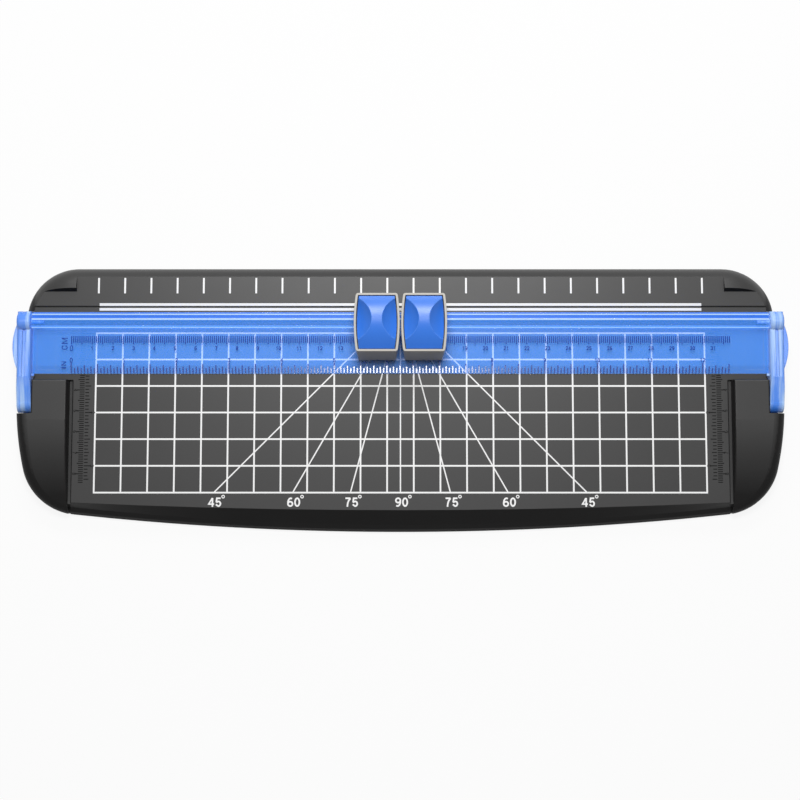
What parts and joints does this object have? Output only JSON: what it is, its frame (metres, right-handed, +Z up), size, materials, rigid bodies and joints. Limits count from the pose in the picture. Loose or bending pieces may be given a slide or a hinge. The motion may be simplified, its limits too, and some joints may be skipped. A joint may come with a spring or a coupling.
{
  "type": "paper trimmer",
  "caption": "Desktop sliding-blade paper trimmer: flat tray with a hinged clear ruler rail, blade carriages that slide along its track and press buttons that lower the blades.",
  "frame": {"origin": "on the table under the middle of the whole object", "axes": "+X along the length to the right, +Y to the back edge behind the cut line, +Z up"},
  "size_m": [0.3714, 0.1272, 0.0328],
  "materials": {
    "tray_plastic": "fine satin moulding",
    "strip_plastic": "soft matt",
    "foot_rubber": "matt",
    "steel": "ground",
    "clear_blue": "clear, polished",
    "grey_plastic": "satin",
    "black_plastic": "satin",
    "blue_plastic": "soft satin"
  },
  "bodies": {
    "tray": {"base_tray": "tray_plastic", "cutting_strip": "strip_plastic", "rubber_feet": "foot_rubber", "hinge_pins": "steel"},
    "rail": {"ruler_rail": "clear_blue", "rail_arm_left": "clear_blue", "rail_arm_right": "clear_blue"},
    "carriage_left": {"carriage_housing_left": "grey_plastic", "glide_shoe_left": "black_plastic", "shoe_screws_left": "steel", "return_spring_left": "steel"},
    "button_left": {"press_button_left": "blue_plastic", "blade_holder_left": "black_plastic", "blade_left": "steel", "blade_screw_left": "steel"},
    "carriage_right": {"carriage_housing_right": "grey_plastic", "glide_shoe_right": "black_plastic", "shoe_screws_right": "steel", "return_spring_right": "steel"},
    "button_right": {"press_button_right": "blue_plastic", "blade_holder_right": "black_plastic", "blade_right": "steel", "blade_screw_right": "steel"}
  },
  "joints": [
    {"name": "rail_hinge", "type": "hinge", "parent": "tray", "child": "rail", "pos_m": [0, -0.0018, 0.01], "axis": [1, 0, 0], "range_deg": [0, 60]},
    {"name": "carriage_left_slide", "type": "slide", "parent": "rail", "child": "carriage_left", "axis": [1, 0, 0], "range_m": [-0.154, 0]},
    {"name": "button_left_press", "type": "slide", "parent": "carriage_left", "child": "button_left", "axis": [0, 0, -1], "range_m": [0, 0.003], "stiffness_N_per_m": 600, "springref_m": -0.002, "deforming": ["return_spring_left"]},
    {"name": "carriage_right_slide", "type": "slide", "parent": "rail", "child": "carriage_right", "axis": [1, 0, 0], "range_m": [0, 0.154]},
    {"name": "button_right_press", "type": "slide", "parent": "carriage_right", "child": "button_right", "axis": [0, 0, -1], "range_m": [0, 0.003], "stiffness_N_per_m": 600, "springref_m": -0.002, "deforming": ["return_spring_right"]}
  ]
}
